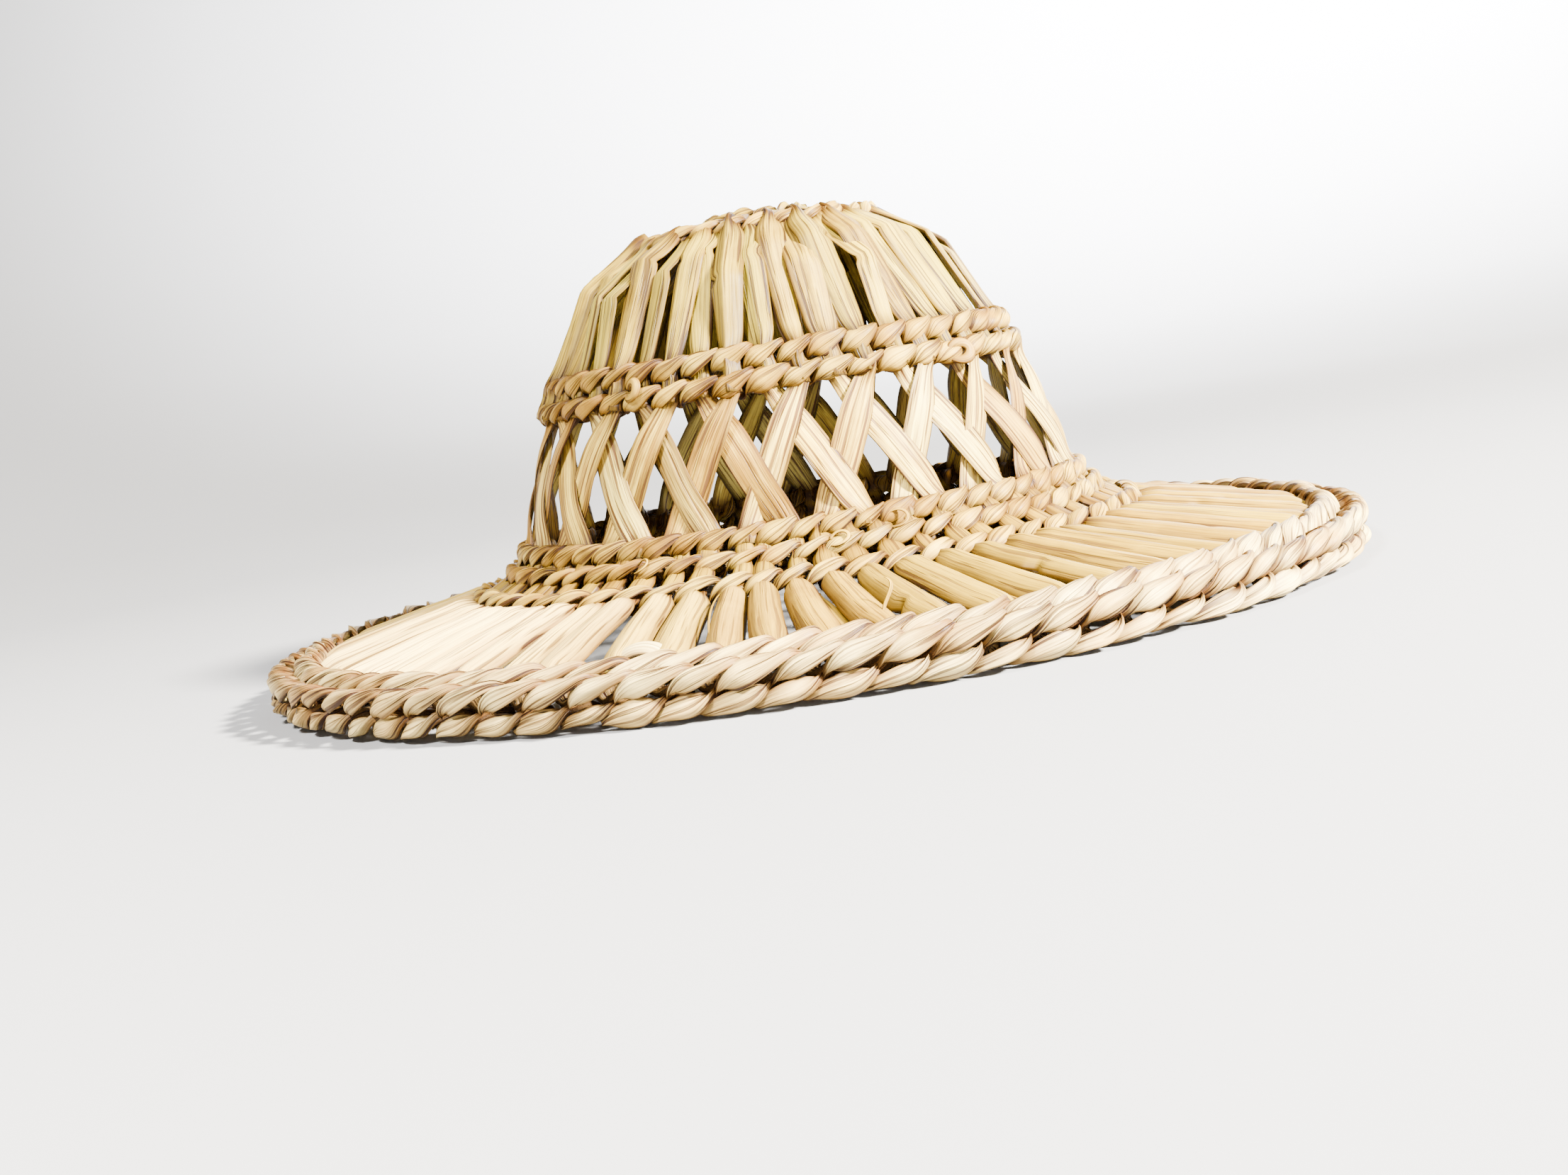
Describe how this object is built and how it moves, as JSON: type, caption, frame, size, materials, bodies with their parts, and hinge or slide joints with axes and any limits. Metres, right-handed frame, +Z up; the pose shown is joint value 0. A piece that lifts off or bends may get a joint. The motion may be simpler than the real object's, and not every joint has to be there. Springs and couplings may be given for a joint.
{
  "type": "japanese reed hat",
  "caption": "Wide-brimmed hat of dried reed: domed crown with an openwork band of crossed reeds, sloping brim of puffed reeds and a thick twined edge.",
  "frame": {"origin": "middle of the hat's footprint, on the surface that its edge rests on", "axes": "+Z up out of the crown, +X to the front of the hat, along its longer side, +Y to the wearer's left"},
  "size_m": [0.398, 0.3676, 0.1478],
  "materials": {
    "crown_reed": "dry flattened reed, greenish tan, with fine ribs along it",
    "strip_reed": "dry split reed, cream with brown streaks",
    "brim_reed": "dry puffed reed, smooth tan skin with a soft sheen",
    "twined_reed": "dry twisted reed, straw, with a soft sheen",
    "edge_reed": "dry twisted reed, pale straw, with a soft sheen"
  },
  "bodies": {
    "root": {"tip": "crown_reed", "top_row": "twined_reed", "crown_reeds": "crown_reed", "band_upper_row": "twined_reed", "band_lower_row": "twined_reed", "openwork": "strip_reed", "base_upper_row": "twined_reed", "base_lower_row": "twined_reed", "collar_reeds": "brim_reed", "brim_row": "twined_reed", "brim_reeds": "brim_reed", "edge_inner_row": "edge_reed", "edge_upper_row": "edge_reed", "edge_lower_row": "edge_reed"}
  },
  "joints": []
}
